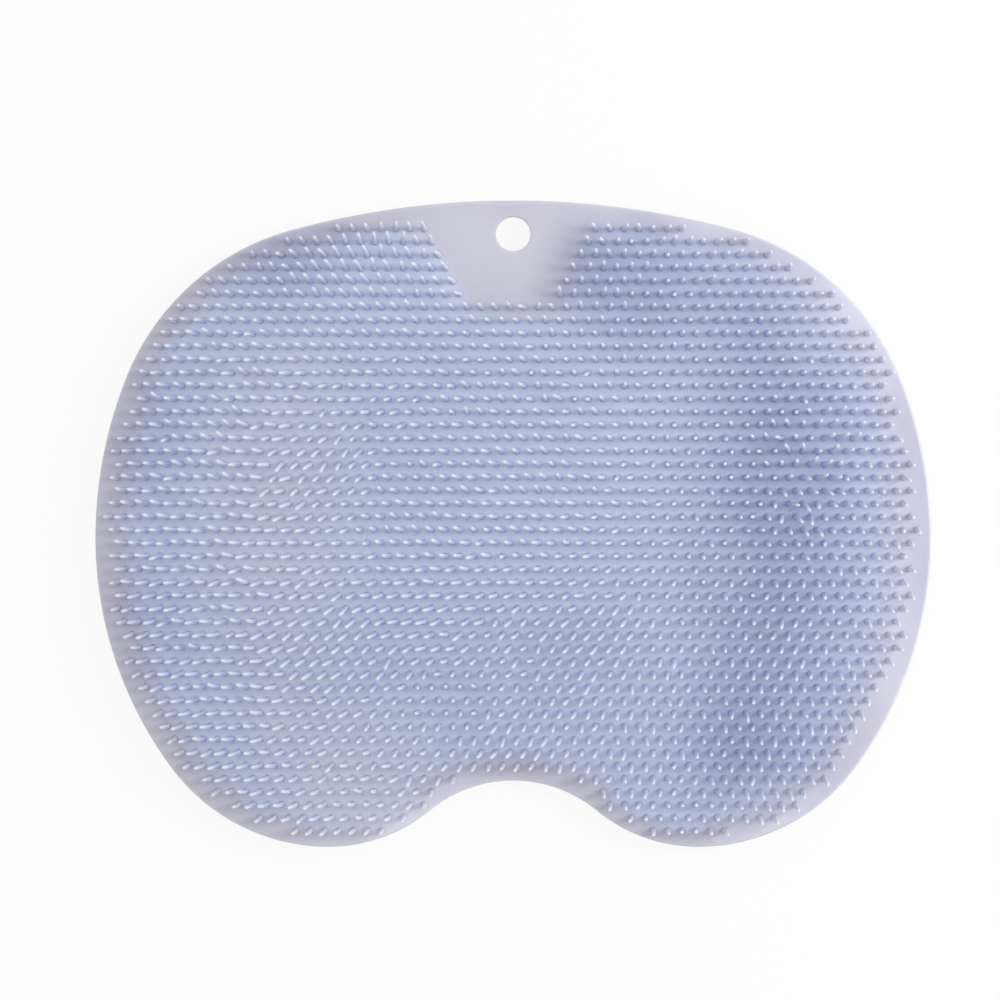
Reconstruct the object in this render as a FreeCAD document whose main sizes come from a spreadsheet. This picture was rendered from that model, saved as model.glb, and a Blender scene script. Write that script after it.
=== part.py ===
import FreeCAD, Part
import math
import os

import Sketcher
from FreeCAD import Vector

# Bath brush: a soft mat moulded in one piece, in millimetres.
#
# The mat is a thin kidney-shaped pad. Its upper side carries a dense field of bristles in
# staggered rows, apart from a smooth border and a bare patch below the hanging hole. Its
# underside carries suction cups that hold it to a shower floor or wall.
#
# It lies on its cups with the bristles up (+Z). The origin is on the plane of the cup rims,
# under the middle of the pad. +X runs across the two lobes, and +Y points to the hanging hole.

# Every size is written once, as name: (value, what it measures). Angles are in degrees.
SIZES = {
    "pad_width": (300.0, "overall width across the two lobes"),
    "pad_height": (232.0, "overall height from the lobes to the top edge"),
    "pad_thickness": (2.4, "thickness of the pad between bristles and cups"),
    "edge_chamfer": (0.8, "chamfer round the pad's upper edge"),
    "top_radius": (306.0, "radius of the long flat top edge"),
    "top_turn": (15.0, "angle that the top edge turns through on either side"),
    "shoulder_turn": (53.0, "angle that an upper corner turns through"),
    "widest_below_middle": (5.0, "the pad is widest this far below its middle"),
    "flank_turn": (36.5, "angle that a side turns through below its widest point"),
    "lobe_spacing": (132.6, "distance between the lowest points of the two lobes"),
    "notch_depth": (23.8, "how far the notch between the lobes reaches in"),
    "notch_radius": (47.0, "radius of the notch"),
    "hole_diameter": (12.4, "diameter of the hanging hole"),
    "hole_inset": (12.0, "hole centre below the top edge"),
    "bristle_pitch": (6.5, "bristle spacing along a row"),
    "bristle_row_pitch": (5.9, "spacing of the bristle rows"),
    "bristle_length": (10.0, "bristle height above the pad"),
    "bristle_root_radius": (1.55, "circle round a bristle's three-sided root"),
    "bristle_margin": (7.5, "root centres this far inside the pad's edge"),
    "first_row_inset": (11.0, "first row of bristles below the top edge"),
    "bare_depth": (36.0, "bare patch, down from the top edge"),
    "bare_top_width": (64.0, "bare patch, width at the top edge"),
    "bare_bottom_width": (34.0, "bare patch, width at its lower end"),
    "cup_height": (4.6, "height of the pad's underside above the floor"),
    "cup_neck_diameter": (9.0, "suction cup's diameter at the pad"),
    "cup_rim_diameter": (21.0, "suction cup's diameter at its rim"),
    "cup_lip": (0.7, "width of the flat lip on the rim"),
    "cup_hollow_depth": (2.4, "depth of the hollow in a suction cup"),
    "cup_sides": (16.0, "number of flat sides that stand for a cup's roundness"),
    "cup_pitch": (50.0, "spacing of the suction cups along a row"),
    "cup_row_pitch": (38.0, "spacing of the rows of cups"),
    "cup_rows": (5.0, "number of rows of cups, spread about the pad's middle"),
    "cup_margin": (4.0, "gap from a cup's rim to the pad's edge or the hole"),
    "rooting": (0.5, "how deep bristles and cups are rooted in the pad"),
}

# What a sketch constraint points at.
BEGIN, FINISH, MIDDLE = 1, 2, 3
ORIGIN = (-1, 1)
Y_AXIS = -2

UP = Vector(0, 0, 1)
TOLERANCE = 1e-6

doc = FreeCAD.newDocument("bath_brush")


def make_sheet():
    """The driving sizes as a spreadsheet, one alias to a row."""
    sheet = doc.addObject("Spreadsheet::Sheet", "sizes")
    for row, (name, (value, note)) in enumerate(SIZES.items(), start=1):
        sheet.set(f"A{row}", name)
        sheet.set(f"B{row}", str(value))
        sheet.set(f"C{row}", note)
        sheet.setAlias(f"B{row}", name)
    doc.recompute()
    return sheet


sheet = make_sheet()


def size(name):
    """A driving size, read from the sheet."""
    return float(sheet.get(name))


def origin_plane(body, role):
    return next(feature for feature in body.Origin.OriginFeatures if feature.Role == role)


def new_sketch(body, name, plane):
    """A sketch on one of the body's own origin planes."""
    sketch = body.newObject("Sketcher::SketchObject", name)
    sketch.AttachmentSupport = [(origin_plane(body, plane), "")]
    sketch.MapMode = "FlatFace"
    return sketch


def drive(sketch, name, expression, *constraint):
    """Adds a dimension to a sketch and binds it to the sheet."""
    index = sketch.addConstraint(Sketcher.Constraint(*constraint))
    sketch.renameConstraint(index, name)
    sketch.setExpression(f"Constraints.{name}", expression)


def polar(angle):
    """The unit vector at an angle from +X, in radians."""
    return Vector(math.cos(angle), math.sin(angle), 0)


def half_outline():
    """The right half of the kidney, from the top edge round to the notch, as a chain of arcs.

    Returns name: (centre, radius, start, end), with angles in radians. Each arc runs tangent
    into the next, so their centres and their join lie on one line.
    """
    half_width = size("pad_width") / 2
    half_height = size("pad_height") / 2
    widest_y = -size("widest_below_middle")
    level = math.pi / 2

    # The shoulder's and the side's radii follow from where the side has to end, at the pad's
    # widest point: two equations, across and up, that are linear in the two radii.
    top_radius = size("top_radius")
    top_end = level - math.radians(size("top_turn"))
    shoulder_end = top_end - math.radians(size("shoulder_turn"))
    top_centre = Vector(0, half_height - top_radius, 0)
    reach = Vector(half_width, widest_y, 0) - top_centre - polar(top_end) * top_radius
    by_shoulder = polar(shoulder_end) - polar(top_end)
    by_side = Vector(1, 0, 0) - polar(shoulder_end)
    cross = by_shoulder.x * by_side.y - by_shoulder.y * by_side.x
    shoulder_radius = (reach.x * by_side.y - reach.y * by_side.x) / cross
    side_radius = (by_shoulder.x * reach.y - by_shoulder.y * reach.x) / cross
    shoulder_centre = top_centre + polar(top_end) * (top_radius - shoulder_radius)
    side_centre = shoulder_centre + polar(shoulder_end) * (shoulder_radius - side_radius)

    # In the same way the flank's and the lobe's radii follow from the lobe's lowest point.
    lobe_x = size("lobe_spacing") / 2
    flank_end = -math.radians(size("flank_turn"))
    inward = half_width - lobe_x
    downward = widest_y + half_height
    turn = polar(flank_end)
    difference = (downward - inward) / (turn.x - turn.y - 1)
    lobe_radius = inward - difference * (1 - turn.x)
    flank_radius = lobe_radius + difference
    flank_centre = Vector(half_width - flank_radius, widest_y, 0)
    lobe_centre = Vector(lobe_x, lobe_radius - half_height, 0)

    # The lobe's inner arc takes what the notch's radius leaves of the bend up to the notch.
    depth = size("notch_depth")
    notch_radius = size("notch_radius")
    inner_radius = (lobe_x**2 + depth**2) / (2 * depth) - notch_radius
    notch_start = level - 2 * math.atan(depth / lobe_x)
    inner_centre = Vector(lobe_x, inner_radius - half_height, 0)
    notch_centre = Vector(0, depth - half_height - notch_radius, 0)

    return {
        "top": (top_centre, top_radius, top_end, level),
        "shoulder": (shoulder_centre, shoulder_radius, shoulder_end, top_end),
        "side": (side_centre, side_radius, 0, shoulder_end),
        "flank": (flank_centre, flank_radius, flank_end, 0),
        "lobe": (lobe_centre, lobe_radius, -level, flank_end),
        "inner": (inner_centre, inner_radius, notch_start - math.pi, -level),
        "notch": (notch_centre, notch_radius, notch_start, level),
    }


def draw_half_outline(sketch):
    """Draws the arcs and a line up the Y axis that closes them, and ties them to the sheet."""
    arc = {}
    for name, (centre, radius, start, end) in half_outline().items():
        circle = Part.Circle(centre, UP, radius)
        arc[name] = sketch.addGeometry(Part.ArcOfCircle(circle, start, end), False)
    notch_top = sketch.getPoint(arc["notch"], FINISH)
    edge_top = sketch.getPoint(arc["top"], FINISH)
    axis_line = sketch.addGeometry(Part.LineSegment(notch_top, edge_top), False)

    names = list(arc)
    for upper, lower in zip(names, names[1:]):
        lower_end = BEGIN if lower == "notch" else FINISH
        sketch.addConstraint(Sketcher.Constraint("Tangent", arc[upper], BEGIN, arc[lower], lower_end))
    sketch.addConstraint(Sketcher.Constraint("Coincident", arc["notch"], FINISH, axis_line, BEGIN))
    sketch.addConstraint(Sketcher.Constraint("Coincident", axis_line, FINISH, arc["top"], FINISH))
    for name in ("top", "notch"):
        sketch.addConstraint(Sketcher.Constraint("PointOnObject", arc[name], MIDDLE, Y_AXIS))
        sketch.addConstraint(Sketcher.Constraint("PointOnObject", arc[name], FINISH, Y_AXIS))
    sketch.addConstraint(Sketcher.Constraint("Horizontal", arc["side"], MIDDLE, arc["side"], BEGIN))
    sketch.addConstraint(Sketcher.Constraint("Vertical", arc["lobe"], MIDDLE, arc["lobe"], BEGIN))

    half_height = "sizes.pad_height / 2"
    places = [
        ("top_y", "DistanceY", "top", FINISH, half_height),
        ("side_x", "DistanceX", "side", BEGIN, "sizes.pad_width / 2"),
        ("side_y", "DistanceY", "side", BEGIN, "-sizes.widest_below_middle"),
        ("lobe_x", "DistanceX", "lobe", BEGIN, "sizes.lobe_spacing / 2"),
        ("lobe_y", "DistanceY", "lobe", BEGIN, f"-{half_height}"),
        ("notch_y", "DistanceY", "notch", FINISH, f"sizes.notch_depth - {half_height}"),
    ]
    for name, kind, arc_name, end, expression in places:
        point = sketch.getPoint(arc[arc_name], end)
        value = point.x if kind == "DistanceX" else point.y
        drive(sketch, name, expression, kind, *ORIGIN, arc[arc_name], end, value)
    for name in ("top", "notch"):
        value = size(f"{name}_radius")
        drive(sketch, f"{name}_radius", f"sizes.{name}_radius", "Radius", arc[name], value)
    for name in ("top", "shoulder", "flank"):
        value = math.radians(size(f"{name}_turn"))
        drive(sketch, f"{name}_turn", f"sizes.{name}_turn * 1 deg", "Angle", arc[name], value)


def make_pad():
    """The bare pad: half the kidney made solid and mirrored, with a bevel round its top."""
    body = doc.addObject("PartDesign::Body", "pad")

    outline = new_sketch(body, "half_outline", "XY_Plane")
    outline.setExpression("AttachmentOffset.Base.z", "sizes.cup_height")
    draw_half_outline(outline)
    half = body.newObject("PartDesign::Pad", "half")
    half.Profile = outline
    half.setExpression("Length", "sizes.pad_thickness")
    doc.recompute()

    whole = body.newObject("PartDesign::Mirrored", "whole")
    whole.Originals = [half]
    whole.MirrorPlane = (origin_plane(body, "YZ_Plane"), [""])
    body.Tip = whole
    doc.recompute()

    upper_face = max(whole.Shape.Faces, key=lambda face: face.CenterOfMass.z)
    edge_names = [
        f"Edge{index}"
        for index, edge in enumerate(whole.Shape.Edges, start=1)
        if any(edge.isSame(other) for other in upper_face.Edges)
    ]
    bevel = body.newObject("PartDesign::Chamfer", "bevelled_edge")
    bevel.Base = (whole, edge_names)
    bevel.setExpression("Size", "sizes.edge_chamfer")
    body.Tip = bevel
    doc.recompute()
    return body


def hole_centre():
    """Centre of the hanging hole, on the pad's underside."""
    return Vector(0, size("pad_height") / 2 - size("hole_inset"), size("cup_height"))


def cut_hanging_hole(pad):
    """Cuts the hole by which the mat hangs, below the middle of the pad's top edge."""
    hole = new_sketch(pad, "hole", "XY_Plane")
    hole.setExpression("AttachmentOffset.Base.z", "sizes.cup_height")
    centre = Vector(0, hole_centre().y, 0)
    ring = hole.addGeometry(Part.Circle(centre, UP, size("hole_diameter") / 2), False)
    hole.addConstraint(Sketcher.Constraint("PointOnObject", ring, MIDDLE, Y_AXIS))
    drive(hole, "diameter", "sizes.hole_diameter", "Diameter", ring, size("hole_diameter"))
    height = "sizes.pad_height / 2 - sizes.hole_inset"
    drive(hole, "height", height, "DistanceY", *ORIGIN, ring, MIDDLE, centre.y)

    uncut_volume = pad.Shape.Volume
    hanging_hole = pad.newObject("PartDesign::Pocket", "hanging_hole")
    hanging_hole.Profile = hole
    hanging_hole.Type = "ThroughAll"
    hanging_hole.Midplane = True
    pad.Tip = hanging_hole
    doc.recompute()
    print(f"hanging hole: {uncut_volume - pad.Shape.Volume:.1f} mm3 cut from the pad")


def make_polygon(name, sides, radius, height):
    """A level regular polygon round the Z axis, with its radius and height tied to the sheet."""
    polygon = doc.addObject("Part::RegularPolygon", name)
    polygon.setExpression("Polygon", sides)
    polygon.setExpression("Circumradius", radius)
    polygon.setExpression("Placement.Base.z", height)
    return polygon


def make_pyramid(name, base, tip_height):
    """A solid that tapers from a polygon to a point on the Z axis, at a height from the sheet."""
    tip = doc.addObject("Part::Vertex", f"{name}_tip")
    tip.setExpression("Z", tip_height)
    pyramid = doc.addObject("Part::Loft", name)
    pyramid.Sections = [base, tip]
    pyramid.Solid = True
    pyramid.Ruled = True
    return pyramid


def make_suction_cup():
    """A suction cup standing on the origin: a flared skirt with a flat lip round a hollow."""
    rim_radius = "sizes.cup_rim_diameter / 2"
    rim = make_polygon("cup_rim", "sizes.cup_sides", rim_radius, "0")
    lip = make_polygon("cup_lip", "sizes.cup_sides", f"{rim_radius} - sizes.cup_lip", "0")
    flare = "sizes.cup_rim_diameter / (sizes.cup_rim_diameter - sizes.cup_neck_diameter)"

    # The skirt's walls run on into the pad, where they are cut off level.
    rooted = doc.addObject("Part::Cylinder", "cup_rooted")
    rooted.setExpression("Radius", "sizes.cup_rim_diameter")
    rooted.setExpression("Height", "sizes.cup_height + sizes.rooting")
    skirt = doc.addObject("Part::Common", "cup_skirt")
    skirt.Base = make_pyramid("cup_walls", rim, f"sizes.cup_height * {flare}")
    skirt.Tool = rooted

    cup = doc.addObject("Part::Cut", "suction_cup")
    cup.Base = skirt
    cup.Tool = make_pyramid("cup_hollow", lip, "sizes.cup_hollow_depth")
    doc.recompute()
    return cup


def make_bristle():
    """A bristle standing on the origin: tapered to a point, with its root sunk below."""
    root = make_polygon("bristle_root", "3", "sizes.bristle_root_radius", "-sizes.rooting")
    bristle = make_pyramid("bristle", root, "sizes.bristle_length")
    doc.recompute()
    return bristle


def underside(pad):
    return min(pad.Shape.Faces, key=lambda face: face.CenterOfMass.z)


def inset_face(pad, margin):
    """The part of the pad's underside that lies at least a margin inside its edge."""
    return Part.Face(underside(pad).OuterWire.makeOffset2D(-margin))


def bare_patch():
    """The patch without bristles below the top edge, at the height of the pad's underside."""
    top = size("pad_height") / 2
    bottom = top - size("bare_depth")
    top_x = size("bare_top_width") / 2
    bottom_x = size("bare_bottom_width") / 2
    corners = [(-top_x, top), (-bottom_x, bottom), (bottom_x, bottom), (top_x, top), (-top_x, top)]
    return Part.Face(Part.makePolygon([Vector(x, y, size("cup_height")) for x, y in corners]))


def staggered_places(region, pitch, row_pitch, top_row):
    """Points in staggered rows on a region of the pad, symmetric about the Y axis.

    Rows are counted down from the top one. In every other row the points are half a pitch on.
    """
    box = region.BoundBox
    rows = int((top_row - box.YMin) / row_pitch) + 1
    columns = int(box.XMax / pitch) + 1
    for row in range(rows):
        shift = pitch / 2 if row % 2 == 0 else 0
        for column in range(-columns, columns + 1):
            point = Vector(column * pitch + shift, top_row - row * row_pitch, box.ZMin)
            if region.isInside(point, TOLERANCE, True):
                yield point


def cup_places(pad):
    """Centres of the suction cups, clear of the pad's edge and of the hanging hole."""
    rim_reach = size("cup_rim_diameter") / 2 + size("cup_margin")
    round_hole = Part.Circle(hole_centre(), UP, size("hole_diameter") / 2 + rim_reach)
    round_hole = Part.Face(Part.Wire(round_hole.toShape()))
    region = inset_face(pad, rim_reach).cut(round_hole)
    top_row = (size("cup_rows") - 1) / 2 * size("cup_row_pitch")
    return staggered_places(region, size("cup_pitch"), size("cup_row_pitch"), top_row)


def bristle_places(pad):
    """Root centres of the bristles, inside the smooth border and outside the bare patch."""
    region = inset_face(pad, size("bristle_margin")).cut(bare_patch())
    top_row = size("pad_height") / 2 - size("first_row_inset")
    return staggered_places(region, size("bristle_pitch"), size("bristle_row_pitch"), top_row)


def mould_together(pad, cup, bristle):
    """The finished mat: the pad with its bristles and suction cups, all one solid."""
    cups = [cup.Shape.translated(Vector(p.x, p.y, 0)) for p in cup_places(pad)]
    pad_top = size("cup_height") + size("pad_thickness")
    bristles = [bristle.Shape.translated(Vector(p.x, p.y, pad_top)) for p in bristle_places(pad)]
    print(f"{len(cups)} suction cups, {len(bristles)} bristles")

    mat = doc.addObject("Part::Feature", "bath_brush")
    mat.Label = "bath_brush"
    mat.Shape = pad.Shape.fuse(cups + bristles)
    mat.Placement = FreeCAD.Placement()
    return mat


def check_and_write(mat):
    """Stops on any failed object or faulty solid, then writes the mat as a STEP file."""
    failed = [o.Name for o in doc.Objects if "Invalid" in o.State or "Error" in o.State]
    if failed:
        raise RuntimeError(f"failed to rebuild: {failed}")
    shape = mat.Shape
    if shape.isNull() or not shape.isValid() or len(shape.Solids) != 1:
        raise RuntimeError("the mat is not one valid solid")
    print(f"{mat.Label}: {shape.Volume / 1000:.1f} cm3, {len(shape.Faces)} faces")
    os.makedirs("parts", exist_ok=True)
    shape.exportStep(f"parts/{mat.Label}.step")


pad = make_pad()
cut_hanging_hole(pad)
check_and_write(mould_together(pad, make_suction_cup(), make_bristle()))
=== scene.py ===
import math
import random

import bmesh
import bpy
import numpy as np
from mathutils import Matrix, Vector


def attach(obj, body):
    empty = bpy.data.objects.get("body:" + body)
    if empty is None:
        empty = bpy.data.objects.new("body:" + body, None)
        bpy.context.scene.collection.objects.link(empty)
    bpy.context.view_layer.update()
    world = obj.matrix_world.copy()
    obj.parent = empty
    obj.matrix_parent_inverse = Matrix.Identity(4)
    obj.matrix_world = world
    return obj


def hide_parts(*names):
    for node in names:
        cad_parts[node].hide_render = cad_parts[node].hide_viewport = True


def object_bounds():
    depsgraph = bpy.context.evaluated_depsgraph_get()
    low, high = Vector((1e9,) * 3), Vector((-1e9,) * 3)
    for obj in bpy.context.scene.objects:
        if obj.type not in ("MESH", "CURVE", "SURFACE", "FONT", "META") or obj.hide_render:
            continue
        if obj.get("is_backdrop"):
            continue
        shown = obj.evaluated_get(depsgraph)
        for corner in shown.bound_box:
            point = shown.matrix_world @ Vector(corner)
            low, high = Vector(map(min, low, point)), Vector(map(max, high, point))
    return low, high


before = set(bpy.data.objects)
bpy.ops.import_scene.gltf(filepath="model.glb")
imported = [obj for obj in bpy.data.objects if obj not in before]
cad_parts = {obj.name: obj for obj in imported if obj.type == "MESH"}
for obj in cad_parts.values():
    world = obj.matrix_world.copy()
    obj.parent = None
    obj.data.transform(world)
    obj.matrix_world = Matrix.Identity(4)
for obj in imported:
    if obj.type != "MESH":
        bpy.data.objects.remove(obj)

# Bath brush: a soft kidney-shaped mat with a dense field of bristles, in metres.
#
# The mat lies on its suction cups with the bristles up. The pad, the bristles and the cups are
# one moulding, shown here as three pieces that together stand for the one solid of the model.

CAD_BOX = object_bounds()
MM = 0.001
UP = Vector((0, 0, 1))
FULL_TURN = 2 * math.pi
QUARTER_TURN = math.pi / 2

# The pad's outline, as in the model's source.
HALF_WIDTH = 150 * MM
HALF_HEIGHT = 116 * MM
WIDEST_Y = -5 * MM
TOP_RADIUS = 306 * MM
TOP_TURN = math.radians(15)
SHOULDER_TURN = math.radians(53)
FLANK_TURN = math.radians(36.5)
LOBE_X = 66.3 * MM
NOTCH_DEPTH = 23.8 * MM
NOTCH_RADIUS = 47 * MM
OUTLINE_STEP = 2.5 * MM
LEAST_ARC_STEPS = 4

# Heights from the floor up.
PAD_BOTTOM = 4.6 * MM
PAD_TOP = 7 * MM
BRISTLE_LENGTH = 10 * MM

# The hanging hole. The pad's edges within reach of its centre are the hole's own.
HOLE_CENTRE = Vector((0, 104 * MM, 0))
HOLE_RADIUS = 6.2 * MM
HOLE_REACH = 1.5 * HOLE_RADIUS
HOLE_SIDES = 64

# The pad's rounded edges as (radius, steps), and the grid on it that its colours need.
TOP_ROUNDING = (0.8 * MM, 5)
OTHER_ROUNDING = (0.3 * MM, 3)
COLOUR_GRID = 3 * MM

# Points this near to each other count as one. The second distance is for points on the seam
# between the pad's halves and on its top, and a face is level if its normal rises this far.
SAME_POINT = 0.001 * MM
ON_SEAM_OR_TOP = 0.01 * MM
LEVEL_NORMAL = 0.9999

# The bristle field: rows down from the first one, each moved on by half a pitch.
BRISTLE_PITCH = 5.12 * MM
ROW_PITCH = 4.69 * MM
FIRST_ROW_Y = 105.7 * MM
FIRST_ROW_SHIFT = -1.1 * MM
ROWS = 47

# The smooth border outside the field, along each arc of the outline.
SMOOTH_BORDER = {
    "top": 3.4 * MM,
    "shoulder": 3 * MM,
    "side": 4.8 * MM,
    "flank": 5.6 * MM,
    "lobe": 4.6 * MM,
    "inner": 2.4 * MM,
    "notch": 5.2 * MM,
}

# The bare patch round the hole: its foot, and where each side starts and how far it spreads
# for each unit of height.
BARE_PATCH_Y = 80 * MM
BARE_PATCH_LEFT = (-13.5 * MM, -0.62)
BARE_PATCH_RIGHT = (15.5 * MM, 0.42)

# The field's painted blue, for the light scattered through the translucent bristles and the shade
# among them, starts just inside its edge and deepens over a fade, which grows longer towards the
# left and the right side.
FADE_START = 0.5 * MM
FADE = 6 * MM
LEFT_FADE = 10 * MM
RIGHT_FADE = 13 * MM
SIDE_START = 67.5 * MM
SIDE_REACH = 75 * MM

# How strong the tips' painted highlight is at the very edge of the field on the left.
LEFT_GLINT = 0.2

# Patches of painted shade, where the mat is painted darker, and of painted light, where it is
# painted lighter, as (x, y, reach across, reach up, strength), in millimetres.
PAINTED_SHADE_PATCHES = [
    # the band down the right
    (94, 0, 46, 160, 0.44),
    (103, 22, 30, 34, 0.15),
    (76, -78, 30, 40, 0.2),
    (84, -84, 30, 26, 0.1),
    # the top right, from the bristles' painted shadow on the bare patch on
    (24, 92, 22, 30, 0.3),
    (48, 85, 38, 42, 0.36),
    (86, 72, 28, 22, 0.1),
    # the top left and both sides
    (-85, 100, 35, 35, 0.35),
    (-134, 35, 28, 40, 0.2),
    (-132, -35, 25, 35, 0.12),
    (150, 0, 22, 110, 0.2),
    # below the middle
    (24, -44, 34, 26, 0.08),
]
PAINTED_LIGHT_PATCHES = [
    # the left half and the left lobe
    (-85, 5, 50, 110, 0.3),
    (-86, -64, 18, 24, 0.14),
    (-60, -90, 50, 40, 0.4),
    (-42, -107, 20, 16, 0.28),
    # between the band of painted shade and the edge, from the top to the right lobe
    (68, 107, 26, 12, 0.2),
    (94, 90, 14, 14, 0.12),
    (112, 74, 34, 30, 0.3),
    (130, 54, 14, 18, 0.18),
    (136, -25, 16, 60, 0.25),
    (92, -105, 30, 22, 0.35),
    # on the near side of the band of painted shade
    (76, -16, 15, 20, 0.12),
]

# A bristle's outline as (radius, height above the pad) in millimetres, from the buried root to
# the tip.
BRISTLE_PROFILE = [
    (0, -0.3),
    (1.3, -0.3),
    (1.05, 0.4),
    (0.88, 3.2),
    (0.74, 6.2),
    (0.65, 8.7),
    (0.46, 9.72),
    (0, 10),
]
BRISTLE_SIDES = 7
BRISTLE_SEED = 11

# How the bristles are combed: a lean is how far a tip stands from its root, in x and y, in
# millimetres. All have one lean, it fans out over the mat, by so much for each span, and patches
# of (x, y, reach, lean in x, lean in y) have more.
COMBED_ALL = (-1.2, -0.5)
FAN_SPAN = 100 * MM
FANNED_ACROSS = (1.05, -0.15)
FANNED_UP = (-0.15, 1.05)
COMBED_PATCHES = [
    # the top left, up to the bare patch
    (-100, 100, 20, 2.5, 0.5),
    (-60, 90, 15, -1.0, 1.0),
    (-50, 100, 20, 1.5, 2.0),
    # the waves on the left
    (-110, 0, 35, -1.5, 1.0),
    (-100, 30, 15, -0.5, 1.5),
    (-70, 20, 20, 1.0, -2.5),
    (-100, -60, 20, -1.5, 2.0),
    (-70, -40, 20, -0.5, -1.5),
    # the left lobe, where the bristles stand straighter
    (-60, -70, 30, 0.5, 0.5),
    (-92, -98, 22, -0.5, 1.5),
    (-55, -100, 15, 0.0, 2.5),
    (-25, -65, 15, 1.5, 1.5),
    # the middle
    (-40, 0, 20, 0.0, 1.5),
    (-30, -30, 20, -2.0, 0.0),
    (10, 10, 35, -1.5, 1.5),
    (30, -40, 20, -1.0, -1.0),
    # the top right and the right lobe
    (75, 90, 25, 1.5, 0.0),
    (30, 85, 15, 1.0, 1.0),
    (60, -110, 20, 0.0, 2.0),
    (100, -40, 20, -1.5, -0.5),
    # the whorl on the right
    (98, 29, 9, -2.5, 2.5),
    (116, 33, 9, 2.0, 2.5),
    (107, 19, 8, 2.5, 2.0),
    (104, 8, 9, 1.5, -2.0),
]

# The longest lean, and the shortest, below which a bristle would be straight.
MOST_LEAN = 3.2 * MM
LEAST_LEAN = 0.01 * MM

# A lean also goes only this share of the way to the pad's edge, and on the left the edge counts
# as lying this much further in.
EDGE_LEAN = 0.3
LEFT_UPRIGHT = 1.8 * MM

# How much a single bristle's lean strays from its patch of the mat, and where it strays further,
# as (x, y, reach across, reach up, further share), in millimetres.
STRAY = 0.48 * MM
TOUSLED_PATCHES = [
    # the left side
    (-102, 34, 56, 44, 1.3),
    (-102, -24, 50, 60, 0.9),
    # round the whorl
    (106, 20, 32, 40, 1.0),
]

# A suction cup's outline as (radius, height above the floor) in millimetres, from its root in
# the pad, down the outside, round the rim and up into the hollow.
CUP_PROFILE = [
    (0, 5.0),
    (4.9, 5.0),
    (4.7, 4.6),
    (4.75, 4.1),
    (5.3, 3.5),
    (6.8, 2.4),
    (8.7, 1.2),
    (10.1, 0.45),
    (10.5, 0.12),
    (10.4, 0),
    (9.9, 0),
    (9.5, 0.12),
    (7.4, 1.15),
    (4.6, 2.0),
    (2.2, 2.32),
    (0, 2.4),
]
CUP_SIDES = 40
CUP_PITCH = 50 * MM
CUP_ROW_PITCH = 38 * MM
CUP_ROWS = 5
CUP_BORDER = 14.5 * MM

# The silicone's roughness, its cloudy shades, its fine grain and the swell of its surface, with
# sizes in blotches to a metre.
PAD_ROUGHNESS = 0.4
BRISTLE_ROUGHNESS = 0.5
ROUGHNESS_CHANGE = 0.08
PAD_CLOUDS = 22
BRISTLE_CLOUDS = 18
CLOUD_EDGES = (0.35, 0.7)
PAD_CLOUD_SHADE = 0.6
BRISTLE_CLOUD_SHADE = 0.12
GRAINS = 2600
GRAIN_SHARE = 0.03
SWELLS = 60
SWELL_DEPTH = 0.4 * MM

# Where a bristle turns from the painted shade at its root to its middle's colour, and then to the
# painted highlight at its tip, as shares of its length.
BODY_ZONE = (0.1, 0.85)
TIP_ZONE = (0.7, 0.96)

# The camera looks straight down, with the mat a little right of and below the picture's middle.
CAMERA_PLACE = (-4.77 * MM, 8.51 * MM, 1000 * MM)
LENS_LENGTH = 99.66
SENSOR_WIDTH = 36

# One soft lamp from the right, and the light and whiteness of the room.
KEY_PLACE = (0.85, 0.18, 0.68)
KEY_SIZE = 0.45
KEY_POWER = 6.2
WORLD_LIGHT = 0.68
WHITE = 1.0
FLOOR_REACH = 3
FLOOR_GREY = 0.9
FLOOR_SHARE_SEEN = 0.9


def direction(angle):
    """The unit vector at an angle from the X axis."""
    return Vector((math.cos(angle), math.sin(angle)))


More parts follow.
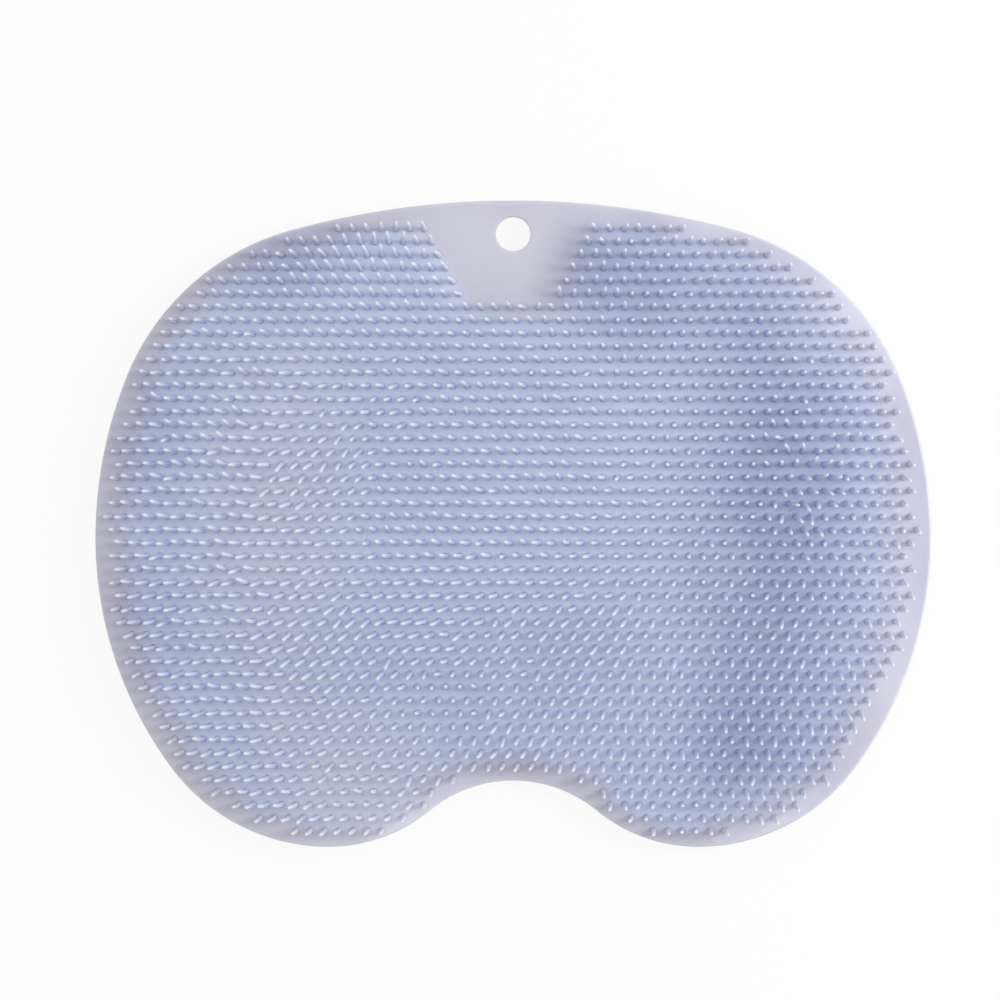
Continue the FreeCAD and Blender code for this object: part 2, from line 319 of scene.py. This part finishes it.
def half_outline():
    """The right half of the kidney as arcs: name: (centre, radius, start angle, end angle)."""
    # The shoulder and the side take the radii that end them at the mat's widest point.
    top_end = QUARTER_TURN - TOP_TURN
    shoulder_end = top_end - SHOULDER_TURN
    top_centre = Vector((0, HALF_HEIGHT - TOP_RADIUS))
    reach = Vector((HALF_WIDTH, WIDEST_Y)) - top_centre - direction(top_end) * TOP_RADIUS
    by_shoulder = direction(shoulder_end) - direction(top_end)
    by_side = direction(0) - direction(shoulder_end)
    cross = by_shoulder.x * by_side.y - by_shoulder.y * by_side.x
    shoulder_radius = (reach.x * by_side.y - reach.y * by_side.x) / cross
    side_radius = (by_shoulder.x * reach.y - by_shoulder.y * reach.x) / cross
    shoulder_centre = top_centre + direction(top_end) * (TOP_RADIUS - shoulder_radius)
    side_centre = shoulder_centre + direction(shoulder_end) * (shoulder_radius - side_radius)

    # The flank and the lobe take the radii that end them at the lobe's lowest point.
    inward = HALF_WIDTH - LOBE_X
    downward = WIDEST_Y + HALF_HEIGHT
    turn = direction(-FLANK_TURN)
    difference = (downward - inward) / (turn.x - turn.y - 1)
    lobe_radius = inward - difference * (1 - turn.x)
    flank_radius = lobe_radius + difference

    # The inner arc of the lobe turns over into the notch.
    inner_radius = (LOBE_X**2 + NOTCH_DEPTH**2) / (2 * NOTCH_DEPTH) - NOTCH_RADIUS
    notch_start = QUARTER_TURN - 2 * math.atan(NOTCH_DEPTH / LOBE_X)
    inner_start = notch_start - math.pi

    flank_centre = Vector((HALF_WIDTH - flank_radius, WIDEST_Y))
    lobe_centre = Vector((LOBE_X, lobe_radius - HALF_HEIGHT))
    inner_centre = Vector((LOBE_X, inner_radius - HALF_HEIGHT))
    notch_centre = Vector((0, NOTCH_DEPTH - HALF_HEIGHT - NOTCH_RADIUS))
    return {
        "top": (top_centre, TOP_RADIUS, top_end, QUARTER_TURN),
        "shoulder": (shoulder_centre, shoulder_radius, shoulder_end, top_end),
        "side": (side_centre, side_radius, 0, shoulder_end),
        "flank": (flank_centre, flank_radius, -FLANK_TURN, 0),
        "lobe": (lobe_centre, lobe_radius, -QUARTER_TURN, -FLANK_TURN),
        "inner": (inner_centre, inner_radius, inner_start, -QUARTER_TURN),
        "notch": (notch_centre, NOTCH_RADIUS, notch_start, QUARTER_TURN),
    }


OUTLINE = half_outline()


def border_at(x, y):
    """How far a point lies inside the pad's edge, and which arc of the edge is nearest."""
    nearest = (math.inf, None)
    for name, (centre, radius, start, end) in OUTLINE.items():
        offset = Vector((abs(x), y)) - centre
        if start <= math.atan2(offset.y, offset.x) <= end:
            inside = radius - offset.length
            nearest = min(nearest, (-inside if name == "notch" else inside, name))
    return nearest


def field_depth(x, y):
    """How far a point lies inside the bristle field, less than 0 outside it."""
    border, arc = border_at(x, y)
    if not arc:
        return -math.inf
    rise = y - BARE_PATCH_Y
    left, right = (foot + rise * spread for foot, spread in (BARE_PATCH_LEFT, BARE_PATCH_RIGHT))
    return min(border - SMOOTH_BORDER[arc], max(-rise, left - x, x - right))


def field_share(x, y):
    """The share of the field's painted blue, from 0 outside the bristle field to 1 well inside it.
    """
    sideways = min(max((abs(x) - SIDE_START) / SIDE_REACH, 0), 1)
    side_fade = LEFT_FADE if x < 0 else RIGHT_FADE
    fade = FADE + (side_fade - FADE) * sideways
    return min(max((field_depth(x, y) - FADE_START) / fade, 0), 1)


def patch_share(x, y, patches):
    """How strongly a point lies in patches, each of which fades out smoothly over its reach."""
    total = 0
    for centre_x, centre_y, across, up, strength in patches:
        away = min(math.hypot((x / MM - centre_x) / across, (y / MM - centre_y) / up), 1)
        total += strength * (1 - away**2 * (3 - 2 * away))
    return total


# What the points of the pad and the bristles carry for their colour: how much of the field's
# painted blue they take, how strong a bristle's painted tip highlight is, and how deep they lie in
# the painted shade and light patches.
SHADES = ("field", "glint", "dark", "pale")


def shades_at(x, y):
    """The values by which the painted blue, highlight, shade and light change across the mat."""
    field = field_share(x, y)
    # The tips' painted highlight, fainter towards the field's edge on the left.
    glint = 1 if x > 0 else LEFT_GLINT + (1 - LEFT_GLINT) * field
    # How deep a point lies in the patches of painted shade and of painted light.
    dark = patch_share(x, y, PAINTED_SHADE_PATCHES)
    pale = patch_share(x, y, PAINTED_LIGHT_PATCHES)
    return dict(zip(SHADES, (field, glint, dark, pale)))


# Materials


class Signal:
    """A value on its way through a material, so that shader maths reads as plain sums."""

    def __init__(self, finish, socket):
        self.finish = finish
        self.socket = socket

    def __add__(self, other):
        return self.finish.math("ADD", self, other)

    def __radd__(self, other):
        return self.finish.math("ADD", other, self)

    def __mul__(self, other):
        return self.finish.math("MULTIPLY", self, other)

    def __rmul__(self, other):
        return self.finish.math("MULTIPLY", other, self)


class Finish:
    """A node tree under construction."""

    def __init__(self, owner):
        owner.use_nodes = True
        self.tree = owner.node_tree
        self.tree.nodes.clear()

    def node(self, kind, settings=None, sockets=None, output=0):
        """Adds a node with its settings and its sockets' values or links."""
        made = self.tree.nodes.new("ShaderNode" + kind)
        for name, value in (settings or {}).items():
            setattr(made, name, value)
        for name, value in (sockets or {}).items():
            if isinstance(value, Signal):
                self.tree.links.new(value.socket, made.inputs[name])
            else:
                made.inputs[name].default_value = value
        return Signal(self, made.outputs[output]) if made.outputs else None

    def math(self, operation, first, second):
        """One step of arithmetic with two values or signals."""
        return self.node("Math", {"operation": operation}, {0: first, 1: second})

    def noise(self, scale, detail):
        """Soft noise between 0 and 1, with scale in blotches to a metre."""
        place = self.node("TexCoord", output="Object")
        return self.node("TexNoise", sockets={"Vector": place, "Scale": scale, "Detail": detail})

    def ramp(self, value, low, high):
        """0 below low and 1 above high, and smooth in between."""
        settings = {"interpolation_type": "SMOOTHSTEP"}
        return self.node("MapRange", settings, {"Value": value, "From Min": low, "From Max": high})

    def clouds(self, scale):
        """Soft clouds, 1 inside and 0 between them."""
        return self.ramp(self.noise(scale, detail=3), *CLOUD_EDGES)

    def blend(self, share, first, second):
        """A colour that turns from the first to the second."""
        settings = {"data_type": "RGBA"}
        return self.node("Mix", settings, {0: share, 6: first, 7: second}, output=2)

    def attribute(self, name):
        """A value that the piece's points carry."""
        return self.node("Attribute", {"attribute_name": name}, output="Fac")

    def bump(self, height, depth):
        """The surface's normal, as if it rose by depth where height is 1."""
        return self.node("Bump", sockets={"Height": height, "Strength": 1.0, "Distance": depth})

    def shader(self, **looks):
        """The material's one Principled shader, wired to its output."""
        sockets = {name.replace("_", " ").title(): value for name, value in looks.items()}
        sockets = {name.replace("Ior", "IOR"): value for name, value in sockets.items()}
        surface = self.node("BsdfPrincipled", sockets=sockets)
        self.node("OutputMaterial", sockets={"Surface": surface})


def linear(red, green, blue):
    """A colour as it looks on a screen, 0 to 255, in the linear values that shaders take."""
    parts = [((part / 255 + 0.055) / 1.055) ** 2.4 for part in (red, green, blue)]
    return (*parts, 1)


PAD_PALE = linear(209, 208, 221)
PAD_SHADE = linear(200, 197, 210)
# The field's painted blue, for the light scattered through the bristles and the shade among them.
PAD_PAINTED_BLUE = linear(219, 226, 244)
# A bristle's painted shade at its root, its middle's own colour and its painted highlight at its
# tip.
BRISTLE_ROOT_SHADE = linear(196, 206, 236)
BRISTLE_MIDDLE = linear(209, 217, 241)
BRISTLE_TIP_HIGHLIGHT = linear(225, 230, 244)
# The colours of the painted shade and the painted light in the patches.
PAINTED_SHADE_COLOUR = linear(150, 162, 196)
PAINTED_LIGHT_COLOUR = linear(238, 240, 250)

SILICONE = {
    "ior": 1.41,
    "specular_ior_level": 0.4,
    "subsurface_weight": 0.5,
    "subsurface_radius": (1, 1, 1),
    "subsurface_scale": 3 * MM,
}


def painted_shade_and_light(finish, colour):
    """A colour with painted shade in the darker patches of the mat and painted light in the
    lighter ones.
    """
    colour = finish.blend(finish.attribute("dark"), colour, PAINTED_SHADE_COLOUR)
    return finish.blend(finish.attribute("pale"), colour, PAINTED_LIGHT_COLOUR)


def silicone_pad(name):
    """Satin silicone with faint cloudy shades, painted blue among the bristles, painted shade and
    light.
    """
    material = bpy.data.materials.new(name)
    finish = Finish(material)
    cloud = finish.clouds(PAD_CLOUDS)
    colour = finish.blend(cloud * PAD_CLOUD_SHADE, PAD_PALE, PAD_SHADE)
    colour = finish.blend(finish.attribute("field"), colour, PAD_PAINTED_BLUE)
    grain = finish.noise(GRAINS, detail=1)
    swell = finish.noise(SWELLS, detail=1)
    finish.shader(
        base_color=painted_shade_and_light(finish, colour),
        roughness=PAD_ROUGHNESS + cloud * ROUGHNESS_CHANGE,
        normal=finish.bump(grain * GRAIN_SHARE + swell, SWELL_DEPTH),
        **SILICONE,
    )
    return material


def silicone_bristles(name):
    """The same silicone, with painted shade at a bristle's root and a painted highlight at its
    tip.
    """
    material = bpy.data.materials.new(name)
    finish = Finish(material)
    along = finish.attribute("along")
    tone = finish.attribute("tone")
    # Painted shade down towards the root.
    colour = finish.blend(finish.ramp(along, *BODY_ZONE), BRISTLE_ROOT_SHADE, BRISTLE_MIDDLE)
    # The bristles take the field's painted blue, and the pad's own colour outside the field.
    colour = finish.blend(finish.attribute("field"), PAD_PALE, colour)
    colour = painted_shade_and_light(finish, colour)
    # The painted highlight at the tip.
    glint = finish.ramp(along, *TIP_ZONE) * finish.attribute("glint")
    colour = finish.blend(glint, colour, BRISTLE_TIP_HIGHLIGHT)
    shade = (finish.clouds(BRISTLE_CLOUDS) + tone) * BRISTLE_CLOUD_SHADE
    finish.shader(
        base_color=finish.blend(shade, colour, BRISTLE_ROOT_SHADE),
        roughness=BRISTLE_ROUGHNESS + tone * ROUGHNESS_CHANGE,
        **SILICONE,
    )
    return material


# Pieces


def finished(bm, name, material):
    """Makes a piece of a bmesh, with its shading smooth apart from its level faces."""
    for face in bm.faces:
        face.smooth = abs(face.normal.z) < LEVEL_NORMAL
    mesh = bpy.data.meshes.new(name)
    bm.to_mesh(mesh)
    bm.free()
    mesh.materials.append(material)
    piece = bpy.data.objects.new(name, mesh)
    bpy.context.scene.collection.objects.link(piece)
    return piece


def spin_outline(bm):
    """Draws the whole kidney at the pad's underside, arc by arc."""
    point = bm.verts.new((0, HALF_HEIGHT, PAD_BOTTOM))
    for name, (centre, radius, start, end) in OUTLINE.items():
        turn = end - start if name == "notch" else start - end
        arc = bmesh.ops.spin(
            bm,
            geom=[point],
            cent=(centre.x, centre.y, PAD_BOTTOM),
            axis=UP,
            angle=turn,
            steps=max(LEAST_ARC_STEPS, round(radius * abs(turn) / OUTLINE_STEP)),
        )
        point = arc["geom_last"][0]
    half = bm.verts[:] + bm.edges[:]
    bmesh.ops.mirror(bm, geom=half, matrix=Matrix(), merge_dist=ON_SEAM_OR_TOP, axis="X")


def round_over(bm, edges, rounding):
    """Rounds edges to a radius in so many steps."""
    radius, steps = rounding
    bmesh.ops.bevel(
        bm,
        geom=edges,
        offset=radius,
        segments=steps,
        profile=0.5,
        affect="EDGES",
        material=-1,
    )


def make_pad(material):
    """The flat pad with its hanging hole and rounded edges."""
    bm = bmesh.new()
    spin_outline(bm)
    place = Matrix.Translation(HOLE_CENTRE + UP * PAD_BOTTOM)
    bmesh.ops.create_circle(bm, segments=HOLE_SIDES, radius=HOLE_RADIUS, matrix=place)
    bmesh.ops.triangle_fill(bm, edges=bm.edges[:], use_beauty=True, use_dissolve=False)
    lower = bm.faces[:]
    raised = bmesh.ops.extrude_face_region(bm, geom=lower, use_keep_orig=True)
    upper = [item for item in raised["geom"] if isinstance(item, bmesh.types.BMVert)]
    bmesh.ops.translate(bm, verts=upper, vec=UP * (PAD_TOP - PAD_BOTTOM))
    bmesh.ops.recalc_face_normals(bm, faces=bm.faces[:])

    rims = [edge for edge in bm.edges if on_rim(edge)]
    outer_top = [edge for edge in rims if on_outer_top(edge)]
    others = [edge for edge in rims if not on_outer_top(edge)]
    round_over(bm, outer_top, TOP_ROUNDING)
    round_over(bm, [edge for edge in others if edge.is_valid], OTHER_ROUNDING)
    bmesh.ops.recalc_face_normals(bm, faces=bm.faces[:])
    cut_grid(bm, COLOUR_GRID)

    for name in SHADES:
        bm.verts.layers.float.new(name)
    layers = {name: bm.verts.layers.float[name] for name in SHADES}
    for vert in bm.verts:
        if vert.co.z > PAD_TOP - ON_SEAM_OR_TOP:
            for name, value in shades_at(vert.co.x, vert.co.y).items():
                vert[layers[name]] = value
    return finished(bm, "pad", material)


def on_rim(edge):
    """Whether an edge of the pad is level and borders one of its upright walls."""
    upright = any(abs(face.normal.z) < LEVEL_NORMAL for face in edge.link_faces)
    return upright and abs(edge.verts[0].co.z - edge.verts[1].co.z) < MM


def on_outer_top(edge):
    """Whether a level edge of the pad runs round its top, clear of the hanging hole."""
    corner = edge.verts[0].co
    clear_of_hole = (corner - HOLE_CENTRE).xy.length >= HOLE_REACH
    return clear_of_hole and corner.z > PAD_BOTTOM + MM


def cut_grid(bm, step):
    """Cuts the pad into a grid that is fine enough for a colour that changes across it."""
    for axis, reach in ((Vector((1, 0, 0)), HALF_WIDTH), (Vector((0, 1, 0)), HALF_HEIGHT)):
        lines = math.floor(reach / step)
        for line in range(-lines, lines + 1):
            bmesh.ops.bisect_plane(
                bm,
                geom=bm.verts[:] + bm.edges[:] + bm.faces[:],
                dist=SAME_POINT,
                plane_co=axis * line * step,
                plane_no=axis,
            )


def spun(profile, sides, name):
    """A round mesh: a profile in millimetres, spun about the Z axis and closed at its poles."""
    bm = bmesh.new()
    points = [bm.verts.new((radius * MM, 0, height * MM)) for radius, height in profile]
    edges = [bm.edges.new(pair) for pair in zip(points, points[1:])]
    bmesh.ops.spin(
        bm,
        geom=points + edges,
        cent=(0, 0, 0),
        axis=UP,
        angle=FULL_TURN,
        steps=sides,
        use_merge=True,
    )
    bmesh.ops.remove_doubles(bm, verts=bm.verts[:], dist=SAME_POINT)
    bmesh.ops.recalc_face_normals(bm, faces=bm.faces[:])
    mesh = bpy.data.meshes.new(name)
    bm.to_mesh(mesh)
    bm.free()
    return mesh


def staggered(pitch, row_pitch, first_row_y, rows, first_shift):
    """Points in staggered rows across the mat."""
    columns = math.ceil(HALF_WIDTH / pitch)
    for row in range(rows):
        shift = first_shift + row % 2 * pitch / 2
        for column in range(-columns - 1, columns + 1):
            yield column * pitch + shift, first_row_y - row * row_pitch


def bristle_roots():
    """The points of the field that carry a bristle."""
    for x, y in staggered(BRISTLE_PITCH, ROW_PITCH, FIRST_ROW_Y, ROWS, FIRST_ROW_SHIFT):
        if field_depth(x, y) >= 0:
            yield x, y


def lean_at(x, y):
    """How far a bristle's tip stands from its root, as the mat is combed there."""
    lean = Vector(COMBED_ALL)
    lean += Vector(FANNED_ACROSS) * x / FAN_SPAN + Vector(FANNED_UP) * y / FAN_SPAN
    for centre_x, centre_y, reach, lean_x, lean_y in COMBED_PATCHES:
        distance = math.hypot(x / MM - centre_x, y / MM - centre_y)
        lean += Vector((lean_x, lean_y)) * math.exp(-((distance / reach) ** 2))
    return lean * MM


def lean_of_one(x, y, rng):
    """A single bristle's lean, with its own stray, and less of it near the mat's edge."""
    stray = STRAY * (1 + patch_share(x, y, TOUSLED_PATCHES))
    lean = lean_at(x, y) + Vector((rng.gauss(0, stray), rng.gauss(0, stray)))
    border = border_at(x, y)[0]
    upright = LEFT_UPRIGHT if x < 0 else 0
    most = min(MOST_LEAN, EDGE_LEAN * (border - upright))
    return lean * min(1, most / lean.length)


def bent(straight, lean, turn):
    """A straight bristle's points, turned about its axis and bent over to a lean."""
    # The bend is the angle that the bristle's arc turns through, as a series in its lean.
    share = max(lean.length, LEAST_LEAN) / BRISTLE_LENGTH
    bend = 2 * share * (1 + share**2 / 3)
    arc_radius = BRISTLE_LENGTH / bend
    angle = straight[:, 2] / arc_radius
    around = math.cos(turn) * straight[:, 0] - math.sin(turn) * straight[:, 1]
    across = math.sin(turn) * straight[:, 0] + math.cos(turn) * straight[:, 1]
    forward = arc_radius * (1 - np.cos(angle)) + around * np.cos(angle)
    upward = arc_radius * np.sin(angle) - around * np.sin(angle)
    ahead = lean.normalized()
    x = forward * ahead.x - across * ahead.y
    y = forward * ahead.y + across * ahead.x
    return np.stack([x, y, upward], axis=1)


def make_bristles(material):
    """The bristles, each one spun upright, bent as it is combed, and set on its root."""
    template = spun(BRISTLE_PROFILE, BRISTLE_SIDES, "bristle")
    count = len(template.vertices)
    straight = np.zeros(count * 3)
    template.vertices.foreach_get("co", straight)
    straight = straight.reshape(count, 3)
    along = template.attributes.new("along", "FLOAT", "POINT")
    along.data.foreach_set("value", np.clip(straight[:, 2] / BRISTLE_LENGTH, 0, 1))
    for name in ("tone", *SHADES):
        template.attributes.new(name, "FLOAT", "POINT")

    rng = random.Random(BRISTLE_SEED)
    field = bmesh.new()
    for x, y in bristle_roots():
        lean = lean_of_one(x, y, rng)
        points = bent(straight, lean, rng.uniform(0, FULL_TURN)) + (x, y, PAD_TOP)
        template.vertices.foreach_set("co", points.ravel())
        for name, value in {"tone": rng.random(), **shades_at(x, y)}.items():
            template.attributes[name].data.foreach_set("value", np.full(count, value))
        field.from_mesh(template)
    bpy.data.meshes.remove(template)
    return finished(field, "bristles", material)


def make_cups(material):
    """The suction cups on the underside."""
    cups = bmesh.new()
    template = spun(CUP_PROFILE, CUP_SIDES, "cup")
    first_row_y = (CUP_ROWS - 1) / 2 * CUP_ROW_PITCH
    for x, y in staggered(CUP_PITCH, CUP_ROW_PITCH, first_row_y, CUP_ROWS, CUP_PITCH / 2):
        border, arc = border_at(x, y)
        from_hole = (Vector((x, y)) - HOLE_CENTRE.xy).length
        if arc and border >= CUP_BORDER and from_hole > HOLE_RADIUS + CUP_BORDER:
            template.transform(Matrix.Translation((x, y, 0)))
            cups.from_mesh(template)
            template.transform(Matrix.Translation((-x, -y, 0)))
    bpy.data.meshes.remove(template)
    return finished(cups, "suction_cups", material)


# Studio


def make_camera():
    """Straight over the mat, and level with the picture's sides."""
    data = bpy.data.cameras.new("camera")
    data.lens = LENS_LENGTH
    data.sensor_width = SENSOR_WIDTH
    camera = bpy.data.objects.new("camera", data)
    camera.location = CAMERA_PLACE
    bpy.context.scene.collection.objects.link(camera)
    bpy.context.scene.camera = camera


def make_lamp():
    """A square soft lamp that faces the mat."""
    data = bpy.data.lights.new("key", "AREA")
    data.shape = "SQUARE"
    data.size = KEY_SIZE
    data.energy = KEY_POWER
    lamp = bpy.data.objects.new("key", data)
    lamp.location = KEY_PLACE
    lamp.rotation_euler = Vector(KEY_PLACE).to_track_quat("Z", "Y").to_euler()
    bpy.context.scene.collection.objects.link(lamp)


def seen_share(finish):
    """1 for rays that show the background itself, or show it in or through something."""
    names = ("Is Camera Ray", "Is Glossy Ray", "Is Transmission Ray")
    camera, glossy, transmission = (finish.node("LightPath", output=name) for name in names)
    return finish.math("MAXIMUM", finish.math("MAXIMUM", camera, glossy), transmission)


def grey(level):
    """A neutral colour."""
    return (level, level, level, 1)


def make_floor():
    """A white floor that takes the mat's soft shadow."""
    material = bpy.data.materials.new("floor")
    finish = Finish(material)
    paper = finish.node("BsdfDiffuse", sockets={"Color": grey(FLOOR_GREY)})
    white = finish.node("Emission", sockets={"Color": grey(WHITE), "Strength": WHITE})
    share = seen_share(finish) * FLOOR_SHARE_SEEN
    surface = finish.node("MixShader", sockets={0: share, 1: paper, 2: white})
    finish.node("OutputMaterial", sockets={"Surface": surface})
    bm = bmesh.new()
    bmesh.ops.create_grid(bm, x_segments=1, y_segments=1, size=FLOOR_REACH)
    floor = finished(bm, "floor", material)
    floor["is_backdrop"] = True


def make_world():
    """A room that lights the mat evenly, and is white where it is seen."""
    world = bpy.data.worlds.new("studio")
    bpy.context.scene.world = world
    finish = Finish(world)
    lit = finish.node("Background", sockets={"Color": grey(WHITE), "Strength": WORLD_LIGHT})
    seen = finish.node("Background", sockets={"Color": grey(WHITE), "Strength": WHITE})
    surface = finish.node("MixShader", sockets={0: seen_share(finish), 1: lit, 2: seen})
    finish.node("OutputWorld", sockets={"Surface": surface})


make_camera()
make_world()
make_floor()
make_lamp()
bpy.context.scene.view_settings.view_transform = "Standard"

pad = make_pad(silicone_pad("silicone"))
bristles = make_bristles(silicone_bristles("silicone_bristles"))
cups = make_cups(silicone_pad("silicone_cups"))
for piece in (pad, bristles, cups):
    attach(piece, "root")
    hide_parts("bath_brush")

boxes = {"cad": CAD_BOX, "visual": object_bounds()}
boxes = {name: [list(corner) for corner in box] for name, box in boxes.items()}
